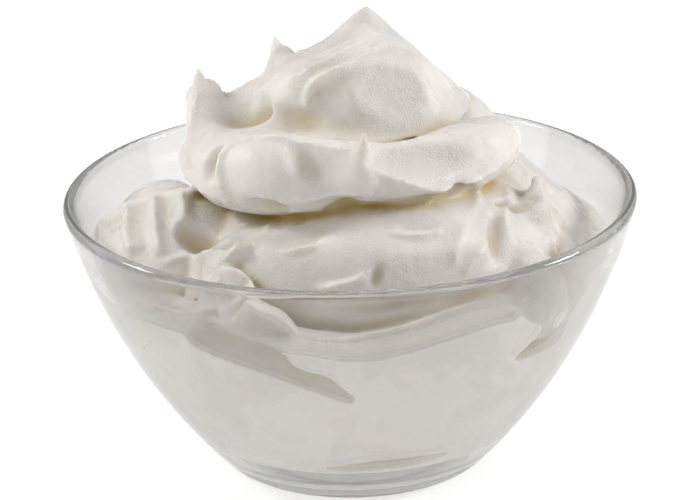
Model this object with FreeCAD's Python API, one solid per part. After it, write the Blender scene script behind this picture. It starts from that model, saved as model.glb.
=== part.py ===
import FreeCAD, Part
import math
import os

# A clear glass dessert bowl, heaped with yogurt that was spooned in three loose turns.
# Millimetres; the bowl stands on z = 0 around the z axis and -y is the front.

# glass bowl
bowl_diameter = 140.0
bowl_height = 68.0
wall = 2.8
floor_thickness = 4.0
foot_radius = 32.7
wall_bow = 4.8
inner_corner = 9.0
foot_edge = 2.6
recess_radius = 24.0
recess_depth = 0.9
recess_slope = 3.0

# yogurt
fit_gap = 0.05
heap_rise = 44.5
crown_x = 4.6
crown_y = 2.0
crown_slope = 1.0
crown_point = 0.8
lower_tier_half = 43.0
lower_tier_thick = 22.0
upper_tier_half = 36.0
upper_tier_thick = 12.0
fill_level = 46.0
middle_level = 61.0
shoulder_level = 68.0

# fineness of the yogurt's surface
spokes = 96
corner_rings = 3
wall_rings = 5
heap_rings = 41
core_height = 50.0
lowest_hollow = 33.0

# The folds are drawn for a bowl of these sizes and stretch along with the ones above.
drawn_radius = 70.0
drawn_height = 68.0
drawn_rise = 44.5
stretch = bowl_diameter / 2.0 / drawn_radius


# small vector sums
def add(a, b, times=1.0):
    return (a[0] + b[0] * times, a[1] + b[1] * times, a[2] + b[2] * times)


def minus(a, b):
    return (a[0] - b[0], a[1] - b[1], a[2] - b[2])


def dot(a, b):
    return a[0] * b[0] + a[1] * b[1] + a[2] * b[2]


def cross(a, b):
    return (a[1] * b[2] - a[2] * b[1], a[2] * b[0] - a[0] * b[2], a[0] * b[1] - a[1] * b[0])


def unit(a):
    size = math.sqrt(dot(a, a)) or 1.0
    return (a[0] / size, a[1] / size, a[2] / size)


def mix(a, b, share):
    return tuple(p + (q - p) * share for p, q in zip(a, b))


def place(x, y, z):
    """A drawn position, moved to the bowl's own size."""
    if z < drawn_height:
        return (x * stretch, y * stretch, z * bowl_height / drawn_height)
    return (x * stretch, y * stretch, bowl_height + (z - drawn_height) * heap_rise / drawn_rise)


# the wall's middle line is one arc from the foot to the middle of the lip
foot = (foot_radius, 0.0)
lip = (bowl_diameter / 2.0 - wall / 2.0, bowl_height - wall / 2.0)
chord = math.hypot(lip[0] - foot[0], lip[1] - foot[1])
middle_arc = (chord * chord / 4.0 + wall_bow * wall_bow) / (2.0 * wall_bow)
across = ((lip[1] - foot[1]) / chord, -(lip[0] - foot[0]) / chord)
centre_r = (foot[0] + lip[0]) / 2.0 - across[0] * (middle_arc - wall_bow)
centre_z = (foot[1] + lip[1]) / 2.0 - across[1] * (middle_arc - wall_bow)
outer_arc = middle_arc + wall / 2.0
inner_arc = middle_arc - wall / 2.0


def arc_radius(arc, z):
    return centre_r + math.sqrt(arc * arc - (z - centre_z) ** 2)


def arc_point(arc, r, z):
    """The point of an arc that lies in the direction of (r, z) from its centre."""
    reach = math.hypot(r - centre_r, z - centre_z)
    return (centre_r + (r - centre_r) * arc / reach, centre_z + (z - centre_z) * arc / reach)


def corner_centre(arc, radius, flat):
    """Centre of the round that touches a flat and, from inside, an arc."""
    z = flat + radius
    return (centre_r + math.sqrt((arc - radius) ** 2 - (z - centre_z) ** 2), z)


def point(r, z):
    return FreeCAD.Vector(r, 0.0, z)


def line(a, b):
    return Part.LineSegment(point(*a), point(*b)).toShape()


def arc(a, b, c):
    return Part.Arc(point(*a), point(*b), point(*c)).toShape()


def make_bowl():
    edge = corner_centre(outer_arc, foot_edge, 0.0)
    edge_wall = arc_point(outer_arc, *edge)
    edge_low = unit((edge_wall[0] - edge[0], 0.0, edge_wall[1] - edge[1] - foot_edge))
    edge_middle = (edge[0] + foot_edge * edge_low[0], edge[1] + foot_edge * edge_low[2])
    lip_out = arc_point(outer_arc, *lip)
    lip_in = arc_point(inner_arc, *lip)
    out_r = (lip_out[0] - lip[0]) / (wall / 2.0)
    out_z = (lip_out[1] - lip[1]) / (wall / 2.0)
    lip_top = (lip[0] - out_z * wall / 2.0, lip[1] + out_r * wall / 2.0)
    half_height = (edge_wall[1] + lip_out[1]) / 2.0
    inside = corner_centre(inner_arc, inner_corner, floor_thickness)
    inside_wall = arc_point(inner_arc, *inside)
    inside_low = unit((inside_wall[0] - inside[0], 0.0, inside_wall[1] - inside[1] - inner_corner))
    inside_middle = (inside[0] + inner_corner * inside_low[0], inside[1] + inner_corner * inside_low[2])
    outline = [
        line((0.0, recess_depth), (recess_radius, recess_depth)),
        line((recess_radius, recess_depth), (recess_radius + recess_slope, 0.0)),
        line((recess_radius + recess_slope, 0.0), (edge[0], 0.0)),
        arc((edge[0], 0.0), edge_middle, edge_wall),
        arc(edge_wall, (arc_radius(outer_arc, half_height), half_height), lip_out),
        arc(lip_out, lip_top, lip_in),
        arc(lip_in, (arc_radius(inner_arc, half_height), half_height), inside_wall),
        arc(inside_wall, inside_middle, (inside[0], floor_thickness)),
        line((inside[0], floor_thickness), (0.0, floor_thickness)),
        line((0.0, floor_thickness), (0.0, recess_depth)),
    ]
    face = Part.Face(Part.Wire(outline))
    return face.revolve(FreeCAD.Vector(0, 0, 0), FreeCAD.Vector(0, 0, 1), 360)


# the yogurt as a distance: below zero inside, built up and carved fold by fold
folds = []


def soft_min(a, b, blend):
    if blend <= 0.0 or abs(a - b) >= blend:
        return min(a, b)
    rest = (blend - abs(a - b)) / blend
    return min(a, b) - rest * rest * blend * 0.25


def heap_distance(p):
    value = 60.0
    for centre, reach, distance, blend, carve in folds:
        gap = math.sqrt((p[0] - centre[0]) ** 2 + (p[1] - centre[1]) ** 2 + (p[2] - centre[2]) ** 2) - reach
        if carve:
            if gap < 0.0:
                value = -soft_min(-value, distance(p), blend)
        elif gap < value:
            value = soft_min(value, distance(p), blend)
    return value


def keep(centre, reach, distance, blend, carve):
    folds.append((centre, reach + blend, distance, blend, carve))


def stone_distance(q, size):
    near = math.sqrt(sum((v / s) ** 2 for v, s in zip(q, size)))
    slope = math.sqrt(sum((v / (s * s)) ** 2 for v, s in zip(q, size))) + 1e-9
    return near * (near - 1.0) / slope


def dollop(at, size, turn=0.0, nod=0.0, lean=0.0, blend=2.0):
    """A rounded lump; turn, nod and lean are degrees around z, x and y."""
    at = place(*at)
    size = tuple(s * stretch for s in size)
    a, b, c = math.radians(turn), math.radians(nod), math.radians(lean)
    right = (math.cos(a) * math.cos(c) - math.sin(a) * math.sin(b) * math.sin(c),
             math.sin(a) * math.cos(c) + math.cos(a) * math.sin(b) * math.sin(c),
             -math.cos(b) * math.sin(c))
    deep = (-math.sin(a) * math.cos(b), math.cos(a) * math.cos(b), math.sin(b))
    high = cross(right, deep)

    def distance(p):
        off = minus(p, at)
        return stone_distance((dot(off, right), dot(off, deep), dot(off, high)), size)

    keep(at, max(size), distance, blend, False)


def peak(at, slope, tall, blunt, lean=(0.0, 0.0), blend=2.0):
    """A cone below its tip."""
    at = place(*at)
    steep = math.sqrt(1.0 + slope * slope)

    def distance(p):
        drop = at[2] - p[2]
        run = math.hypot(p[0] - at[0] - lean[0] * drop, p[1] - at[1] - lean[1] * drop)
        run = math.sqrt(run * run + blunt * blunt) - blunt
        return max((run * slope - drop) / steep, drop - tall)

    middle = (at[0] + lean[0] * tall * 0.5, at[1] + lean[1] * tall * 0.5, at[2] - tall * 0.5)
    keep(middle, math.hypot(tall * 0.5, tall / slope + 2.0), distance, blend, False)


def flowing(path, steps):
    """A smooth run through the given stations; each may carry a radius as well."""
    if len(path) < 3:
        return list(path)
    first = tuple(2 * a - b for a, b in zip(path[0], path[1]))
    last = tuple(2 * a - b for a, b in zip(path[-1], path[-2]))
    p = [first] + list(path) + [last]
    run = []
    for i in range(1, len(p) - 2):
        for j in range(steps):
            t = j / float(steps)
            run.append(tuple(
                0.5 * (2 * b + (c - a) * t + (2 * a - 5 * b + 4 * c - d) * t * t
                       + (3 * b - a - 3 * c + d) * t ** 3)
                for a, b, c, d in zip(p[i - 1], p[i], p[i + 1], p[i + 2])))
    run.append(p[-2])
    return run


def nearest(run, p):
    """Squared distance to a run of points, the piece it lies on and the share along it."""
    best, piece, along = 1e9, 0, 0.0
    for i in range(len(run) - 1):
        a, b = run[i], run[i + 1]
        step = (b[0] - a[0], b[1] - a[1], b[2] - a[2])
        off = (p[0] - a[0], p[1] - a[1], p[2] - a[2])
        share = min(1.0, max(0.0, dot(off, step) / (dot(step, step) + 1e-9)))
        far = add(off, step, -share)
        size = dot(far, far)
        if size < best:
            best, piece, along = size, i, share
    return best, piece, along


def middle_of(run, pad):
    centre = tuple(sum(p[k] for p in run) / len(run) for k in range(3))
    reach = max(math.sqrt(dot(minus(p[:3], centre), minus(p[:3], centre))) for p in run)
    return centre, reach + pad


def roll(path, blend=2.0, carve=False):
    """A tapering sausage of yogurt; every station is x, y, z, radius."""
    run = [place(*s[:3]) + (s[3] * stretch,) for s in flowing(path, 4)]
    centre, reach = middle_of(run, max(s[3] for s in run))

    def distance(p):
        best, piece, along = nearest(run, p)
        radius = run[piece][3] + (run[piece + 1][3] - run[piece][3]) * along
        return math.sqrt(best) - radius

    keep(centre, reach, distance, blend, carve)


def horn(base, tip, radius, bend=(0.0, 0.0, 0.0), blend=2.0, power=1.6, point=0.22):
    """A pulled point that tapers from its base to its tip."""
    path = []
    for i in range(7):
        t = i / 6.0
        curve = 4.0 * t * (1.0 - t)
        station = tuple(b + (e - b) * t + c * curve for b, e, c in zip(base, tip, bend))
        path.append(station + (radius * (1.0 - t) ** power + point,))
    roll(path, blend=blend)


def surface_near(at, out):
    """Slide a point along a direction until it lies on the yogurt's surface."""
    far, step = 14.0, 0.5
    best = None
    last = heap_distance(add(at, out, far))
    offset = far - step
    while offset > -far:
        here = heap_distance(add(at, out, offset))
        if here <= 0.0 < last:
            hit = offset + step * here / (here - last)
            if best is None or abs(hit) < abs(best):
                best = hit
        last = here
        offset -= step
    return add(at, out, best or 0.0)


def outward(p):
    """The surface's own direction at a point."""
    e = 0.9
    steps = ((e, 0, 0), (0, e, 0), (0, 0, e))
    return unit(tuple(heap_distance(add(p, s)) - heap_distance(add(p, s, -1.0)) for s in steps))


def crest(path, heights, wide, way=None, blend=0.8, sharp=1.0, fall=0.6):
    """A pulled edge that follows the surface; wide holds its two sides."""
    run = [place(*s) for s in flowing(path, 3)]
    last = len(run) - 1
    feet, ups, tall = [], [], []
    for i, p in enumerate(run):
        reach_way = unit(way) if way else outward(p)
        foot_point = surface_near(p, reach_way)
        up = outward(foot_point)
        if way:
            up = unit(add(tuple(0.4 * v for v in up), reach_way, 0.6))
        place_in_list = i / float(last) * (len(heights) - 1)
        k = min(int(place_in_list), len(heights) - 2)
        feet.append(foot_point)
        ups.append(up)
        tall.append((heights[k] + (heights[k + 1] - heights[k]) * (place_in_list - k)) * stretch)
    for rows in (feet, ups):
        for again in range(2):
            before = list(rows)
            for i in range(1, last):
                rows[i] = tuple((a + 2 * b + c) / 4.0 for a, b, c in zip(before[i - 1], before[i], before[i + 1]))
    sides = []
    for i in range(last + 1):
        ahead = unit(minus(feet[min(i + 1, last)], feet[max(i - 1, 0)]))
        sides.append(cross(ahead, unit(ups[i])))
    reach = max(wide) * 2.2 * stretch + max(tall)
    centre, span = middle_of(feet, reach)

    def distance(p):
        best, i, along = nearest(feet, p)
        off = minus(p, mix(feet[i], feet[i + 1], along))
        rise = dot(off, unit(mix(ups[i], ups[i + 1], along)))
        side = dot(off, mix(sides[i], sides[i + 1], along))
        height = tall[i] + (tall[i + 1] - tall[i]) * along
        lateral = math.sqrt(max(best - rise * rise, 0.0))
        width = (wide[0] if side > 0 else wide[1]) * stretch
        profile = height * math.exp(-(lateral / width) ** sharp) - fall * lateral
        return max((rise - profile) * 0.8, math.sqrt(best) - reach)

    keep(centre, span, distance, blend, False)


def scoop(at, way, along, half, depth, blend=0.8, swell=False, back=3.0):
    """A spoon mark of the given depth, or with swell a low bulge."""
    at = place(*at)
    out = unit(way) if way else outward(at)
    depth = depth * stretch
    at = surface_near(at, out)
    lengthways = unit(add(along, out, -dot(along, out)))
    crossways = cross(out, lengthways)
    thick = back * depth
    grow = stretch / math.sqrt(1.0 - ((thick - depth) / thick) ** 2)
    size = (half[0] * grow, half[1] * grow, thick)
    centre = add(at, out, (thick - depth) * (-1.0 if swell else 1.0))

    def distance(p):
        off = minus(p, centre)
        return stone_distance((dot(off, lengthways), dot(off, crossways), dot(off, out)), size)

    keep(centre, max(size), distance, blend, not swell)


def heap_lumps():
    dollop((0, 0, fill_level - 18), (95, 95, 18), blend=0)  # the level fill, cut to the bowl later
    dollop((0, 6, middle_level - 18), (57, 54, 18), blend=5)
    dollop((4, 26, shoulder_level - 18), (46, 34, 18), lean=4, blend=4)
    peak((32, 9, 76.5), 0.92, 34, 7, lean=(0.1, -0.1), blend=3)  # right slope
    dollop((49, -16, 46), (17, 22, 13), turn=20, lean=20)
    dollop((40, -36, 54), (9, 8.5, 11), blend=1.5)  # torn lump by the glass
    dollop((50, -24, 51), (9, 12, 9), blend=2)
    dollop((-44, -8, 50.5), (24, 26, 17.5), lean=-24, blend=1.5)  # left fan
    dollop((-50, 15, 54), (13, 14, 9), lean=-30, blend=1.5)
    dollop((8, -12, 55), (lower_tier_half, 39, lower_tier_thick), nod=-10, blend=1.5)  # broad lower fold
    roll([(-22, -34, 58, 12), (-8, -38, 59, 13), (8, -39, 59, 14), (22, -34, 61, 13)], blend=3)
    roll([(-50, -31, 49, 6), (-34, -46, 49, 7), (-15, -54, 48, 6.5), (3, -56, 47, 5)], blend=1.5)
    roll([(0, -56, 46, 6), (15, -54, 47, 8), (29, -48, 49.5, 8.5), (36, -42, 51, 7)], blend=1.5)
    dollop((-2, -4, 78), (upper_tier_half, 29, upper_tier_thick), nod=-6, lean=3, blend=1)  # upper turn
    dollop((2, 13, 77), (34, 25, 13), nod=12, lean=-4, blend=3)
    roll([(-32, -8, 78, 8), (-28, -20, 80, 9), (-19, -29, 82.5, 10), (-8, -33, 83, 8.5), (3, -35, 84, 7)])
    roll([(2, -33, 83, 6.5), (14, -31, 82, 7.5), (26, -22, 82, 8), (33, -12, 81.5, 7.5), (36, -4, 80, 6)],
              blend=1.5)
    roll([(-31, -2, 84, 6.5), (-25, 1, 86, 6.5), (-15, 4, 87, 8)])
    peak((crown_x, crown_y, 112.5), crown_slope, 25, crown_point, blend=2.5)  # crown
    dollop((8, -7, 93), (17, 14, 13), turn=6, lean=22, blend=4)
    dollop((-7, -4, 91), (15, 13, 12), turn=10, lean=-10, blend=5)


def crown_folds():
    scoop((-4, -4, 105.5), None, (1, 0.1, 0.75), (8.5, 3.6), 1.6, blend=1.5)
    crest([(7.5, -5.5, 107), (0, -12, 105.5), (-8, -13, 101.5), (-12, -13, 100)], (0.3, 1.2, 1.2, 0.4),
               (2.6, 2.6), blend=1.2)
    scoop((11, -19.5, 97.5), (0.28, -0.85, 0.42), (1, 0.3, -0.15), (20, 8.2), 3.2, blend=1)  # the big spoon mark
    scoop((21, -11.5, 97), None, (0.3, 0.3, -1), (8, 4), 0.8, blend=1.5)
    crest([(10, -7.5, 106), (5, -14.5, 105), (0, -16.5, 103), (-6, -16.5, 100.5), (-8.5, -17, 98),
                (-9.5, -18, 93.5)], (0.8, 1.7, 2.2, 2.2, 1.8, 0.4), (2.4, 3.4), fall=1.1)  # swirl edge
    scoop((2.5, -17, 105.5), None, (1, 0.1, 0.45), (10, 2.2), 1.3)
    scoop((-3.5, -20, 98), None, (1, 0, -0.2), (4.5, 1.6), 0.9)
    horn((-12, 4, 92), (-17, 8, 104.2), 7, bend=(-1.2, 0, 0.3), blend=2.5, power=1.2)
    horn((-31.5, -3, 84), (-36, 0, 99.2), 8, bend=(-0.9, 0, -0.4), blend=2.5, power=1.1)
    crest([(-31, 1, 92.5), (-28, 2, 93), (-23, 3, 93), (-18, 4, 93.5), (-14, 5, 95)],
               (1.2, 0.8, 1.6, 1.3, 0.6), (0.9, 1.4), way=(0, 0.1, 1), blend=0.6)


def upper_turn():
    scoop((-24.5, -10, 89), (0.1, -0.3, 1), (1, -0.15, 0), (6.5, 2.8), 3.0, blend=2.5, back=1.8)
    scoop((-14.5, -17.5, 90.5), (0, -0.2, 1), (1, -0.3, 0), (8, 3), 1.4, blend=1.5, back=2)
    crest([(-27.5, -29.5, 88.5), (-24.5, -28.5, 90.5), (-19.5, -32, 91.5), (-14.5, -33.5, 91.5),
                (-8.5, -34.5, 90.5), (-3, -37, 90), (0.5, -37.5, 89.5), (3, -38, 89.5)],
               (0.8, 1.6, 1.8, 1.8, 1.6, 1.4, 1.2, 0.6), (2.4, 2.8), way=(0, -0.3, 1), fall=1)  # front rim
    crest([(-25.5, -29.5, 90.5), (-28.5, -30, 88), (-30, -32, 85), (-29.5, -33, 81), (-27.5, -33, 77)],
               (0.6, 1.8, 2.2, 1.8, 0.5), (2.6, 2.2))
    crest([(4, -39.5, 88.5), (5, -40.5, 87), (8, -41, 85), (13.5, -38.5, 82), (20.5, -35.5, 79.5),
                (26.5, -31.5, 79.5), (33, -25.5, 80), (37.5, -19.5, 81)],
               (0.2, 1.0, 2.0, 2.0, 1.8, 1.4, 1.0, 0.4), (2.2, 2.6), fall=1)
    scoop((17, -34, 86), (0.35, -0.75, 0.55), (1, 0.35, -0.25), (18, 5.6), 2.8, blend=1.2)
    scoop((-6, -41, 85.5), (-0.1, -0.85, 0.5), (0.55, 0, -1), (9.5, 4.8), 2.4, blend=3.5)
    scoop((-3, -39.5, 77.5), (0, -0.9, -0.4), (1, 0, 0.1), (6, 2.6), 2.2, blend=1.2, back=1.6)
    scoop((-11, -36.5, 87.5), None, (0.5, 0, -1), (5, 2.5), 0.9, blend=1.5)
    crest([(-41, -6, 82), (-42, -11, 79.5), (-38, -18, 77.5), (-33, -26, 78), (-29, -31, 76)],
               (0.8, 2.0, 2.2, 1.8, 0.5), (2.0, 2.8))  # thin left edge
    scoop((-32, -28.5, 85), None, (0.1, 0, 1), (8, 2), 2.2, blend=1)
    crest([(-35.5, -3, 93), (-37.5, -6.5, 89), (-39.5, -7.5, 84.5)], (1.2, 1.2, 0.5), (2.2, 2.2), blend=1)
    horn((2.2, -38, 87), (3.7, -40, 95), 2.6, bend=(0.3, -0.2, 0), blend=1, power=0.85)  # pulled tip


def lower_fold():
    roll([(-28, -32, 75, 0.8), (-20, -33.5, 73, 0.9), (-12, -35.5, 73.5, 1)], carve=True, blend=1)
    roll([(-5.5, -37, 75.5, 1.2), (-1, -37, 76.5, 2.2), (3, -37, 77, 0.8)], carve=True, blend=1)
    roll([(9, -38, 76.8, 0.7), (15, -37, 77, 1.3), (22, -33, 77, 1), (29, -27, 77, 0.4)], carve=True, blend=1)
    crest([(-19, -31.5, 70.5), (-21.5, -37.5, 69.5), (-26, -41.5, 66.5), (-29.5, -41.5, 63),
                (-32.5, -45.5, 62)], (0.8, 2.6, 3, 2.6, 1), (4.5, 2))
    scoop((-26.5, -37, 68.5), None, (1, 0, 0.9), (11, 3.5), 1.8, blend=1.2)
    crest([(-15, -45, 68.5), (-12, -45.5, 69), (-9, -45.5, 70), (-7, -44, 71), (-6.5, -39.5, 72.5)],
               (0.3, 1.4, 1.6, 1.6, 0.4), (0.8, 3), blend=0.5)  # torn edge
    scoop((-11.5, -42, 71), None, (1, 0, 0.2), (8, 4), 1.4, blend=1.2)
    crest([(31.5, -24.5, 76), (30, -28, 73.5), (27, -38.5, 72), (24, -45, 69), (23, -48, 65.5)],
               (0.3, 1.2, 1.6, 1.4, 0.4), (3.4, 2))
    crest([(38, -14, 71.5), (37, -21.5, 71), (34.5, -33.5, 69.5), (29.5, -43.5, 67), (25.5, -47.5, 63.5)],
               (0.3, 1.4, 1.8, 1.4, 0.4), (2.2, 3.4))
    scoop((30.5, -37.5, 71), None, (0.25, 0, 1), (12, 3.6), 0.6, blend=2)
    scoop((15.5, -45, 71.5), None, (1, 0, 0.2), (12, 5), 1, blend=2)
    crest([(10, -45, 72), (15.5, -45, 71), (20, -43, 71.5)], (0.4, 0.9, 0.3), (1.2, 3), blend=0.6)
    crest([(-8, -53.5, 63), (-5, -52, 62.5), (-1.5, -51.5, 63), (2, -51.5, 64), (4, -51, 66)],
               (0.6, 1.8, 1.6, 1.8, 0.5), (3, 0.9), blend=0.5)
    scoop((6, -51.5, 64), None, (0.4, 0, 1), (2.8, 1.6), 1.2, blend=1, back=1.6)


def right_slope():
    horn((41, -22, 61), (45.6, -11, 73.2), 7, bend=(0.5, -3, 0.5), blend=1.5, power=0.9)  # curl
    for x, y, bow in ((41, 4, -1), (43, -4, 1), (44, -12, -1)):  # ridges that run down to the glass
        crest([(x, y, 72), (x + 7, y - 2 + bow, 65), (x + 13, y - 5, 58)], (0.2, 1, 0.3), (1.4, 2.2), way=(0.6, -0.3, 1))
    scoop((40.5, -22.5, 70), None, (0.4, 0, 1), (6, 1.8), 1)
    scoop((33.5, -36.5, 68.5), None, (0.5, 0, 1), (9, 2.4), 2, blend=1)
    for x, y, z in ((39.5, -35, 65), (43.5, -33, 64), (47, -26, 62), (51, -19.5, 59.5), (55, -14.5, 57.5)):
        crest([(x - 1, y + 2, z + 2), (x, y, z), (x + 1, y - 2, z - 2)], (0.3, 1, 0.3), (1.2, 1.8), blend=0.6)


def left_fan():
    for top, middle, low in (((-42, 2, 68), (-40.5, -11.5, 69.5), (-38, -25, 66)),
                             ((-48, 2, 66), (-46.5, -11.5, 67.5), (-44, -27, 63)),
                             ((-54, 1, 64), (-52.5, -10, 64.5), (-50, -24, 61)),
                             ((-60, 2, 60), (-59, -7, 60.5), (-56, -19, 58))):
        crest([top, middle, low], (0.8, 2.4, 1.4), (2.6, 2.6), blend=1, sharp=1.6)
    crest([(-36.5, -13.5, 72.5), (-44, -6, 69), (-51, -4, 66.5), (-58, -4, 63), (-63, -6, 58)],
               (0.6, 1.4, 1.8, 1.8, 0.8), (3, 3), blend=1)
    scoop((-35.5, -24.5, 65), None, (0.5, 0, -1), (7, 4), 3.6, blend=1.2, back=1.8)
    crest([(-43, -29.5, 60.5), (-37.5, -28.5, 61.5), (-31.5, -35, 64.5), (-26, -43, 68.5)],
               (0.6, 2, 2, 0.6), (2, 3.4), blend=1)


def front_glass():
    roll([(-34, -52.5, 52, 3.6), (-20, -58, 48, 4), (-9, -58.6, 42.5, 3), (-1, -57, 37.5, 1.2)], carve=True,
              blend=0.8)  # wedge of air
    crest([(-50, -38, 58), (-40, -47, 57), (-30, -53, 54), (-22, -57, 50)], (0.4, 2, 2, 0.4), (3, 1.4), blend=0.6)
    roll([(-14, -51, 58, 0.6), (0, -53, 57.5, 1.5), (16, -52, 58, 1.3), (30, -46, 59, 0.5)], carve=True, blend=0.8)
    crest([(-8, -58, 53), (4, -58.5, 55), (18, -55.5, 56), (32, -48, 58)], (0.4, 1.8, 1.6, 0.4), (1.4, 3), blend=0.6)
    roll([(-6, -42, 13.8, 0.8), (3, -43, 14.4, 2), (13, -41, 14.6, 2), (20, -38, 15, 0.7)], carve=True,
              blend=0.3)  # a sliver of air near the foot
    crest([(32, -53, 63), (35.5, -52, 57), (39, -48.5, 50)], (0.6, 2, 0.6), (1, 3), blend=0.6)


def back_folds():
    crest([(-11, 3, 100), (-7, 13, 97), (3, 17, 95), (12, 14, 93)],
               (0.4, 1.8, 1.8, 0.4), (2.4, 3.2))
    scoop((8, 24, 92), None, (1, 0.1, -0.15), (15, 6), 2.6, blend=1.2)
    crest([(-34, 10, 84), (-28, 24, 80), (-12, 35, 79), (6, 37, 80), (24, 31, 80), (35, 14, 80)],
               (0.5, 2.0, 2.4, 1.2, 0.5, 0.2), (2.4, 2.8))
    roll([(-36, 22, 71, 0.8), (-20, 40, 71, 1.8), (4, 45, 71, 2.2), (26, 38, 72, 1.6), (40, 22, 71, 0.6)],
              carve=True, blend=1.2)
    horn((-4, 34, 80), (-9, 39, 91), 4.5, bend=(-0.8, 0.6, 0), blend=2)
    crest([(-42, 30, 67), (-28, 45, 67), (-8, 52, 66), (14, 53, 65), (34, 45, 65), (50, 26, 63)],
               (0.5, 2.2, 2.0, 2.4, 2.0, 0.5), (2.6, 3.4), blend=1)
    scoop((-22, 47, 64), None, (1, 0.4, 0), (13, 4.5), 2.2, blend=1.2)
    scoop((25, 49, 63), None, (1, -0.5, 0), (14, 4.5), 2.4, blend=1.2)
    crest([(30, 30, 74), (40, 28, 70), (50, 24, 63)], (0.4, 1.8, 0.5), (2.2, 3), blend=0.8)


# the yogurt's surface: rings of points around the core
def cavity_distance(p):
    """Below zero inside the bowl's hollow, and open above the lip."""
    if p[2] > lip[1]:
        return -50.0
    lean_share = inner_arc / math.hypot(inner_arc, abs(p[2] - centre_z))
    return (math.hypot(p[0], p[1]) - arc_radius(inner_arc, p[2]) + fit_gap) * lean_share


def surface_point(core, way, start):
    """March from outside towards the core and stop at the yogurt."""
    far = start
    for tries in range(200):
        p = add(core, way, far)
        value = max(heap_distance(p), cavity_distance(p))
        if value < 0.02:
            break
        far -= max(value * 0.75, 0.02)
        if far < 6.0:
            break
    return add(core, way, far)


def make_yogurt():
    for shape in (heap_lumps, crown_folds, upper_turn, lower_fold, right_slope, left_fan, front_glass, back_folds):
        shape()
    core = (0.0, 0.0, core_height * bowl_height / drawn_height)
    crown = place(crown_x, crown_y, 112.5)
    lean = ((crown[0] - core[0]) / (crown[2] - core[2]), (crown[1] - core[1]) / (crown[2] - core[2]))
    inside = corner_centre(inner_arc, inner_corner, floor_thickness)
    inside_wall = arc_point(inner_arc, *inside)
    corner_end = math.atan2(inside_wall[1] - inside[1], inside_wall[0] - inside[0])
    profile = []
    for i in range(corner_rings + 1):
        angle = -math.pi / 2.0 + (corner_end + math.pi / 2.0) * i / corner_rings
        radius = inner_corner - fit_gap
        profile.append((inside[0] + radius * math.cos(angle), inside[1] + radius * math.sin(angle)))
    hollow = lowest_hollow * bowl_height / drawn_height
    for i in range(1, wall_rings + 1):
        z = inside_wall[1] + (hollow - inside_wall[1]) * i / wall_rings
        profile.append((arc_radius(inner_arc, z) - fit_gap / 0.8, z))
    rings = []
    for r, z in profile:
        rings.append([(r * math.cos(2 * math.pi * k / spokes), r * math.sin(2 * math.pi * k / spokes), z)
                      for k in range(spokes)])
    first = math.atan2(profile[-1][1] - core[2], profile[-1][0])
    start = bowl_diameter * 0.75
    for i in range(1, heap_rings + 1):
        share = i / float(heap_rings + 1)
        climb = first + (math.pi / 2.0 - first) * share
        ring = []
        for k in range(spokes):
            turn = 2.0 * math.pi * k / spokes
            up = math.sin(climb)
            tilt = max(up, 0.0)
            way = unit((math.cos(climb) * math.cos(turn) + tilt * lean[0],
                        math.cos(climb) * math.sin(turn) + tilt * lean[1], up))
            ring.append(surface_point(core, way, start))
        rings.append(ring)
    bottom = (0.0, 0.0, floor_thickness + fit_gap)
    top = surface_point(core, unit((lean[0], lean[1], 1.0)), start)
    faces = []

    def triangle(a, b, c):
        corners = [FreeCAD.Vector(*v) for v in (a, b, c, a)]
        faces.append(Part.Face(Part.makePolygon(corners)))

    for k in range(spokes):
        m = (k + 1) % spokes
        triangle(bottom, rings[0][m], rings[0][k])
        triangle(top, rings[-1][k], rings[-1][m])
    for lower, upper in zip(rings, rings[1:]):
        for k in range(spokes):
            m = (k + 1) % spokes
            short = math.dist(lower[k], upper[m]) < math.dist(lower[m], upper[k])
            if short:
                triangle(lower[k], lower[m], upper[m])
                triangle(lower[k], upper[m], upper[k])
            else:
                triangle(lower[k], lower[m], upper[k])
                triangle(lower[m], upper[m], upper[k])
    shell = Part.makeShell(faces)
    return Part.makeSolid(shell)


os.makedirs("parts", exist_ok=True)
bowl = make_bowl()
bowl.exportStep("parts/bowl.step")
print("bowl", bowl.isValid(), round(bowl.Volume / 1000.0, 1), "cm3")
yogurt = make_yogurt()
yogurt.exportStep("parts/yogurt.step")
print("yogurt", yogurt.isValid(), round(yogurt.Volume / 1000.0, 1), "cm3", len(yogurt.Faces), "faces")
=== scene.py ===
import math

import bpy
import numpy as np
import openvdb as vdb
from mathutils import Matrix, Vector


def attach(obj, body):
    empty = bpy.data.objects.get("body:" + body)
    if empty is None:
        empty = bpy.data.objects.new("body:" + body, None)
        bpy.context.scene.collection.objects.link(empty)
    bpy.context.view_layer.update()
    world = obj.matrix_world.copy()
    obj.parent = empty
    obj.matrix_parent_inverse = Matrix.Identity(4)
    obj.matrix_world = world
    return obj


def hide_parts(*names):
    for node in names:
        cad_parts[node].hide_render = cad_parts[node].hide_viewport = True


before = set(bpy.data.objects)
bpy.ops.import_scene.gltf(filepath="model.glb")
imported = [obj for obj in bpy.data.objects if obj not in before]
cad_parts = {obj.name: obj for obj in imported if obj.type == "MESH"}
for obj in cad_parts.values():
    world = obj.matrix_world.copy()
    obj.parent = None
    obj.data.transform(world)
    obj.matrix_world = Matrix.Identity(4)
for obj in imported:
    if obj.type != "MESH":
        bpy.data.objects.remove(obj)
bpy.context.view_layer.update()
print("frame:", ", ".join(sorted(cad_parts)))

mm = 0.001

# the bowl's inside, on the same arc as the glass
bowlShape = {
    "width": 140.0,      # across the lip
    "height": 68.0,
    "wall": 2.8,
    "floor": 4.0,
    "foot": 32.7,        # radius where the wall's middle line meets the table
    "bow": 4.8,          # how far the wall bulges between foot and lip
}


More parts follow.
